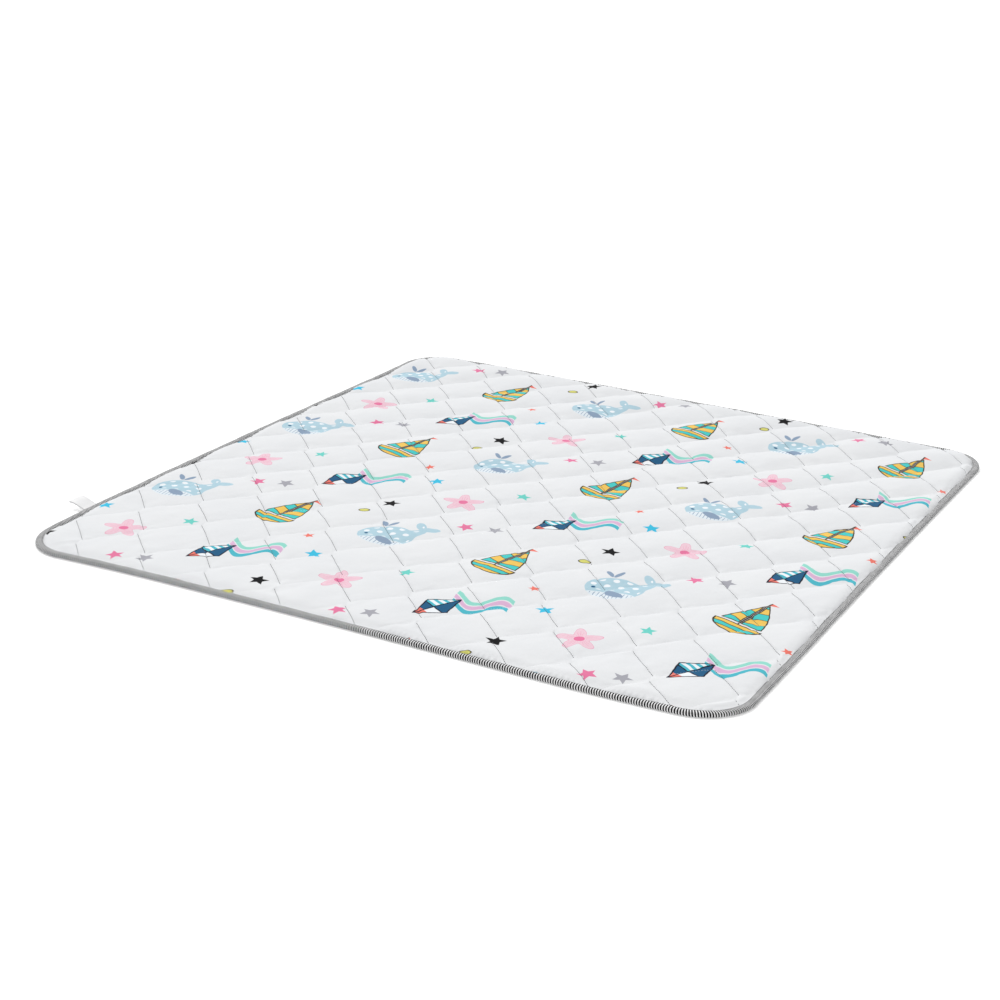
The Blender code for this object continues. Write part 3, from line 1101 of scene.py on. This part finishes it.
def star(x, y, reach):
    """Five points: the plane is folded into one half of one point."""
    wedge = 2 * math.pi / 5
    notch = STAR_NOTCH * reach
    angle = worked("WRAP", worked("ARCTAN2", x, y), wedge / 2, -wedge / 2)
    far = length_of(x, y)
    along = far * worked("COSINE", angle)
    aside = abs(far * worked("SINE", angle))
    notch_x, notch_y = notch * math.cos(wedge / 2), notch * math.sin(wedge / 2)
    run_x, run_y = notch_x - reach, notch_y
    size = math.hypot(run_x, run_y)
    return (along - reach) * (run_y / size) - aside * (run_x / size)


def soft_union(first, second, blend):
    return worked("SMOOTH_MIN", first, second, blend)


print("repeat of the print:", REPEAT_ACROSS, "by", REPEAT_ALONG, "m")

# %% [markdown]
# ### The figures
# The print is a generic nursery one: a sailing boat with yellow and teal sails, a pale blue
# spotted whale, a kite on a ribbon of mint, pink and turquoise, a pink flower, a lemon drop, and
# stars. Each function gives its layers of ink, a mask and a colour for each, from back to front,
# in the order in which a screen printer would lay them. `brush` varies the line or the wash, and
# the plain numbers are millimetres from the figure's middle.

# %% Inks
YELLOW = srgb(240, 198, 96)
TEAL = srgb(72, 203, 199)
BROWN = srgb(62, 46, 28)
PALE_BLUE = srgb(176, 207, 220)
GREY_BLUE = srgb(140, 160, 184)
WHITE_INK = srgb(240, 244, 248)
MINT = srgb(146, 216, 202)
LILAC_PINK = srgb(219, 178, 210)
TURQUOISE = srgb(78, 184, 200)
NAVY = srgb(28, 90, 130)
INDIGO = srgb(14, 20, 42)
CORAL = srgb(238, 122, 108)
PALE_PINK = srgb(238, 200, 213)
DEEP_PINK = srgb(230, 122, 162)
BLACK = srgb(5, 5, 8)
GREY = srgb(168, 168, 176)
CYAN = srgb(60, 192, 226)
STAR_MINT = srgb(112, 210, 199)
LEMON = srgb(216, 214, 118)


def boat(x, y, brush):
    belly = ((y - 20.0) / 22.0) ** 2.0
    sail = highest(2.5 - x, -12.0 - y, beyond(x, y, (33, -12), (3, 60)) - 5.0 + belly * 1.6)
    jib = highest(x + 2.5, -12.0 - y, beyond(x, y, (-3, 50), (-28, -12)) - 3.0 + belly)
    sails = lowest(sail, jib)
    hull = highest(oval(x, y, (1, -18), 37, 26), y + 18.0)
    panels = worked("SINE", y * 0.17 - abs(x) * 0.06 + 1.2) * 6.0
    plank = abs(y + 31.0) - 4.5
    pennant = corners_in(x, y, (0, 62), (15, 67), (0, 72))
    mast = highest(abs(x) - brush * 0.6, y - 72.0, -18.0 - y)
    seams = drawn(panels, brush * 0.8) * filled(sails)
    rails = drawn(plank, brush * 0.8) * filled(hull)
    line = highest(seams, rails, drawn(sail, brush), drawn(jib, brush), drawn(hull, brush), filled(mast))
    return ((filled(sails), YELLOW), (filled(highest(sails, panels)), TEAL), (filled(hull), YELLOW),
            (filled(highest(hull, plank)), TEAL), (filled(pennant), CORAL), (line, BROWN))


def whale(x, y, brush):
    body = oval(x, y, (-8, 0), 40, 34)
    tail = oval(x, y, (28, 16), 20, 9, 48)
    flukes = lowest(oval(x, y, (32, 44), 14, 7, 112), oval(x, y, (48, 36), 14, 7, 4))
    shape = soft_union(soft_union(body, tail, 12.0), flukes, 5.0)
    wash = worked("MINIMUM", filled(shape) * (0.80 + 0.35 * brush), 1.0)
    underside = oval(x, y, (-14, -30), 42, 19)
    belly = highest(shape, underside)
    grooves = drawn(worked("SINE", x * 0.55 - y * 0.1) * 1.8, 1.1) * filled(belly + 1.5)
    row = worked("FLOOR", y / 17.0)
    spot_x = worked("WRAP", x - row * 9.5, 9.5, -9.5)
    spot_y = worked("WRAP", y - 8.5, 8.5, -8.5)
    spots = highest(length_of(spot_x, spot_y) - 4.3, shape + 3.0, 5.0 - underside)
    fin = highest(oval(x, y, (-6, -18), 15, 8, -35), -28.0 - y)
    eye = disc(x, y, (-36, -2), 2.8)
    spout = lowest(oval(x, y, (-22, 46), 11, 3.6, 120), oval(x, y, (-9, 46), 11, 3.6, 60))
    return ((wash, PALE_BLUE), (filled(belly) * 0.75, WHITE_INK), (grooves, GREY_BLUE),
            (filled(spots), WHITE_INK), (filled(fin), GREY_BLUE), (filled(eye), NAVY),
            (filled(spout), GREY_BLUE))


def kite(x, y, brush):
    run = y - (worked("SINE", (x + 26.0) * 0.085) * 16.0 - 12.0)
    ends = highest(x - 22.0, -58.0 - x)
    ribbon = tuple((filled(highest(abs(run - offset) - 5.6, ends)), ink)
                   for offset, ink in ((-14.0, MINT), (0.0, LILAC_PINK), (14.0, TURQUOISE)))
    lean = math.radians(-38)
    own_x = (x - 36.0) * math.cos(lean) + (y - 20.0) * math.sin(lean)
    own_y = (y - 20.0) * math.cos(lean) - (x - 36.0) * math.sin(lean)
    body = (abs(own_x) / 23.0 + abs(own_y + 5.0) / 38.0 - 1.0) * 19.0
    quarter = highest(body, 0.0 - own_x * own_y)
    bands = highest(body, 0.0 - own_x, own_y, worked("SINE", own_y * 0.6) * 4.0)
    nose = highest(body, 17.0 - own_y)
    spars = highest(lowest(abs(own_x), abs(own_y)) - brush * 0.5, body)
    line = highest(drawn(body, brush), filled(spars))
    return ribbon + ((filled(body), WHITE_INK), (filled(quarter), NAVY), (filled(bands), TURQUOISE),
                     (filled(nose), CORAL), (line, INDIGO))


def flower(x, y, brush):
    angle = worked("ARCTAN2", x, y)
    far = length_of(x, y)
    petals = far - 21.0 - 8.0 * worked("COSINE", angle * 5.0)
    wash = worked("MINIMUM", filled(petals) * (0.75 + 0.40 * brush), 1.0)
    rays = drawn(worked("SINE", angle * 15.0) * far * 0.20, 0.8) * filled(highest(petals + 7.0, 8.0 - far))
    middle = highest(filled(far - 6.5), drawn(petals, 0.9) * 0.8)
    return ((wash, PALE_PINK), (rays, DEEP_PINK), (middle, DEEP_PINK))


def lemon_drop(x, y, brush):
    shape = oval(x, y, (0, 0), 8, 5.5)
    return ((filled(shape), LEMON), (drawn(shape, 1.3), BROWN))


print("figures:", [figure.__name__ for figure in (boat, whale, kite, flower, star, lemon_drop)])

# %% [markdown]
# ### The printed cotton
# The cotton is a plain weave, each thread over and under by turns, fine enough to vanish at arm's
# length. Fine creases run over it. Ink lies in the cloth, not on it, so the print takes the
# cloth's own roughness and bump. A slow wobble of a millimetre or so makes the lines look drawn by
# hand, and a finer noise varies their width.

# %% Weave, creases and print on the cotton
COTTON_WHITE = srgb(234, 235, 236)
COTTON_SHADE = srgb(225, 227, 230)
COTTON_CLOUD = 9.0
THREADS_PER_M = 2400.0
HAND_WOBBLE = 0.0030
WOBBLES_PER_M = 70.0
BRUSH_PER_M = 160.0
WASHES = ("whale", "flower")
FIGURES = (
    # figure, place across and along the repeat, turn, size
    (boat, (0.072, 0.066), -12, 0.88),
    (whale, (0.238, 0.068), 14, 0.94),
    (kite, (0.098, 0.240), 190, 0.92),
    (flower, (0.258, 0.228), 20, 1.00),
    (lemon_drop, (0.160, 0.128), 30, 0.9),
)
STARS = (
    # ink, place, turn, reach in mm
    (BLACK, (0.176, 0.172), 10, 13.5),
    (DEEP_PINK, (0.306, 0.148), -25, 12.5),
    (CYAN, (0.186, 0.282), 30, 12.5),
    (GREY, (0.012, 0.160), -8, 13.0),
    (STAR_MINT, (0.318, 0.292), 12, 11.5),
    (CORAL, (0.146, 0.012), 40, 8.0),
)


def cotton_print(tree, x, y):
    here = joined(x, y)
    noise = wired(tree, "ShaderNodeTexNoise", {"Vector": here, "Scale": WOBBLES_PER_M, "Detail": 1.0})
    shifts = wired(tree, "ShaderNodeSeparateColor", {0: noise.outputs["Color"]})
    hand_x = x + (Term(tree, shifts.outputs[0]) - 0.5) * HAND_WOBBLE
    hand_y = y + (Term(tree, shifts.outputs[1]) - 0.5) * HAND_WOBBLE
    brush = mottle(here, BRUSH_PER_M, 3.0)
    layers = []
    for figure, place, turn, size in FIGURES:
        own_x, own_y = placed(hand_x, hand_y, place, turn, size)
        layers += figure(own_x, own_y, brush if figure.__name__ in WASHES else 1.2 + 1.6 * brush)
    for ink, place, turn, reach in STARS:
        own_x, own_y = placed(hand_x, hand_y, place, turn)
        layers.append((filled(star(own_x, own_y, reach)), ink))
    cloth = tinted(COTTON_WHITE, mottle(here, COTTON_CLOUD, 4.0), COTTON_SHADE)
    for mask, ink in layers:
        cloth = tinted(cloth, mask, ink)
    return cloth


def finish_cotton():
    tree, shader = begin_finish(print_cloth, sheen=0.04, specular=0.12)
    x, y = mapped(tree, "cloth")
    fibres = mottle(joined(x, y), 900.0)
    painted(tree, shader, cotton_print(tree, x, y), 0.84 + 0.12 * fibres)
    weave = worked("SINE", x * (math.pi * THREADS_PER_M)) * worked("SINE", y * (math.pi * THREADS_PER_M))
    folds = bumped(tree, shader, mottle(joined(x, y), 150.0, 3.0), distance=0.0012, strength=0.35)
    bumped(tree, shader, weave, distance=0.00005, strength=0.5, under=folds)


finish_cotton()
print("cotton finish:", len(print_cloth.node_tree.nodes), "nodes")

# %% [markdown]
# ### The ticking, the thread and the tab
# Ticking is a twill with the stripe woven in, here black and white, 3.2 mm from stripe to stripe
# with black about 58% of it. The stripes cross the tape, lean a little and drift slowly. The
# thread is a two-ply, white or dark grey, and the tab is satin with fine ribs. The dark grey is
# painted shade: on the falling lines it stands in for the shadow in the furrows, and on the tape
# it is the thread's own colour and also paints the shade of the groove by the cloth.

# %% Stripes, ribs and ply
STRIPES_ROUND = round(EDGE_ROUND / 0.00320)
STRIPE_LEAN = 0.16
STRIPE_DRIFT = 0.004
BLACK_FROM = -0.40
BLACK_FULL = -0.12
TICKING_WHITE = srgb(252, 252, 252)
TICKING_SHADE = srgb(226, 227, 230)
TICKING_BLACK = srgb(9, 9, 11)
# Dark grey thread: painted shade for the falling furrows and, in part, for the groove by the tape
THREAD_PAINTED_SHADE = (srgb(92, 93, 98), srgb(66, 67, 72))
THREAD_WHITE = (srgb(238, 239, 240), srgb(226, 228, 230))
TAB_WHITE = srgb(240, 240, 240)
TAB_SHADE = srgb(228, 228, 230)
TAB_EDGE = srgb(222, 223, 225)


def finish_tape():
    tree, shader = begin_finish(tape_finish, sheen=0.04, specular=0.12)
    along, across = mapped(tree, "tape")
    here = joined(along, across)
    pull = mottle(here, 22.0, 1.0) - 0.5
    place = (along + across * STRIPE_LEAN + pull * STRIPE_DRIFT) * (STRIPES_ROUND / EDGE_ROUND)
    wave = worked("SINE", place * (2 * math.pi))
    fuzz = (mottle(here, 2600.0) - 0.5) * 0.5
    dust = mottle(here, 60.0, 3.0)
    dark = fade(wave + fuzz * 0.4 + (dust - 0.5) * 0.7, BLACK_FROM, BLACK_FULL)
    white = tinted(TICKING_WHITE, dust * 0.5, TICKING_SHADE)
    painted(tree, shader, tinted(white, dark, TICKING_BLACK), 0.78 + 0.16 * dust)
    twill = worked("SINE", (along + across) * 9000.0) * 0.4 + wave * 0.6
    bumped(tree, shader, twill, distance=0.00012, strength=0.6)


def finish_thread(material, colours):
    tree, shader = begin_finish(material, sheen=0.3, specular=0.3)
    where = tree.nodes.new("ShaderNodeTexCoord")
    ply = mottle(Term(tree, where.outputs["Object"]), 2200.0)
    painted(tree, shader, tinted(colours[0], ply * 0.6, colours[1]), 0.55 + 0.25 * ply)
    bumped(tree, shader, ply, distance=0.0001, strength=0.5)


def finish_tab():
    tree, shader = begin_finish(tab_finish, sheen=0.35, specular=0.4)
    across, along = mapped(tree, "tab")
    ribs = worked("SINE", across * 9500.0)
    edge = highest(fade(across, 0.0245, 0.0252), 1.0 - fade(across, 0.0008, 0.0015))
    cloud = mottle(joined(across, along), 120.0)
    white = tinted(TAB_WHITE, cloud * 0.5, TAB_SHADE)
    painted(tree, shader, tinted(white, edge * 0.6, TAB_EDGE), 0.42 + 0.2 * cloud)
    bumped(tree, shader, ribs * 0.5 + cloud, distance=0.00008, strength=0.5)


finish_tape()
finish_thread(shade_thread_finish, THREAD_PAINTED_SHADE)
finish_thread(white_thread, THREAD_WHITE)
finish_tab()
print("stripes round the edge:", STRIPES_ROUND)

# %% [markdown]
# ## The studio
# The photo is a cut-out on white, lit by a large soft light from above and behind, with white all
# round. A pale floor that glows a little, like a light table, under an even white sky gives the
# same, and one broad sun, forty degrees wide, gives the puffs their soft shaded sides.

# %% Floor and lights
FLOOR_SIZE = 60.0
FLOOR_GLOW = 0.20
FLOOR_COLOUR = (0.97, 0.97, 0.97, 1.0)
PURE_WHITE = (1.0, 1.0, 1.0, 1.0)
SKY_STRENGTH = 0.58
SUN_STRENGTH = 2.07
SUN_WIDTH = math.radians(40)
SUN_FROM = Vector((-0.55, 0.62, 0.95))

bpy.ops.mesh.primitive_plane_add(size=FLOOR_SIZE, location=(0.0, 0.0, 0.0))
floor = bpy.context.object
floor.name = "studio_floor"
floor_paint = bpy.data.materials.new("pale_floor")
floor_shader = begin_finish(floor_paint, sheen=0.0, specular=0.0)[1]
for name, value in (("Base Color", FLOOR_COLOUR), ("Emission Color", PURE_WHITE),
                    ("Emission Strength", FLOOR_GLOW), ("Roughness", 1.0)):
    floor_shader.inputs[name].default_value = value
floor.data.materials.append(floor_paint)

sky = bpy.data.worlds.new("white_sky")
sky.use_nodes = True
backdrop = sky.node_tree.nodes["Background"]
backdrop.inputs["Color"].default_value = PURE_WHITE
backdrop.inputs["Strength"].default_value = SKY_STRENGTH
bpy.context.scene.world = sky

sun_data = bpy.data.lights.new("broad_sun", "SUN")
sun_data.energy = SUN_STRENGTH
sun_data.angle = SUN_WIDTH
sun = in_scene("broad_sun", sun_data)
sun.rotation_mode = "QUATERNION"
sun.rotation_quaternion = SUN_FROM.to_track_quat("Z", "Y")
bpy.context.scene.view_settings.view_transform = "Standard"
print("floor", FLOOR_SIZE, "m; sky", SKY_STRENGTH, "and sun", SUN_STRENGTH)

# %% [markdown]
# ## Tie the pieces to the solids
# The mat has no joints, so every piece rides on the one body, `root`. Each dressed piece stands
# for its plain solid, which is hidden. The quilted body is a padded piece, and the tape and the
# tab are cloth.

# %% Ride and replace
for piece in (quilt, falling_stitches, rising_stitches, tape, tape_stitches, tab):
    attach(piece, "root")
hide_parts("quilted_mat")
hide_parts("edge_binding")
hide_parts("side_label")
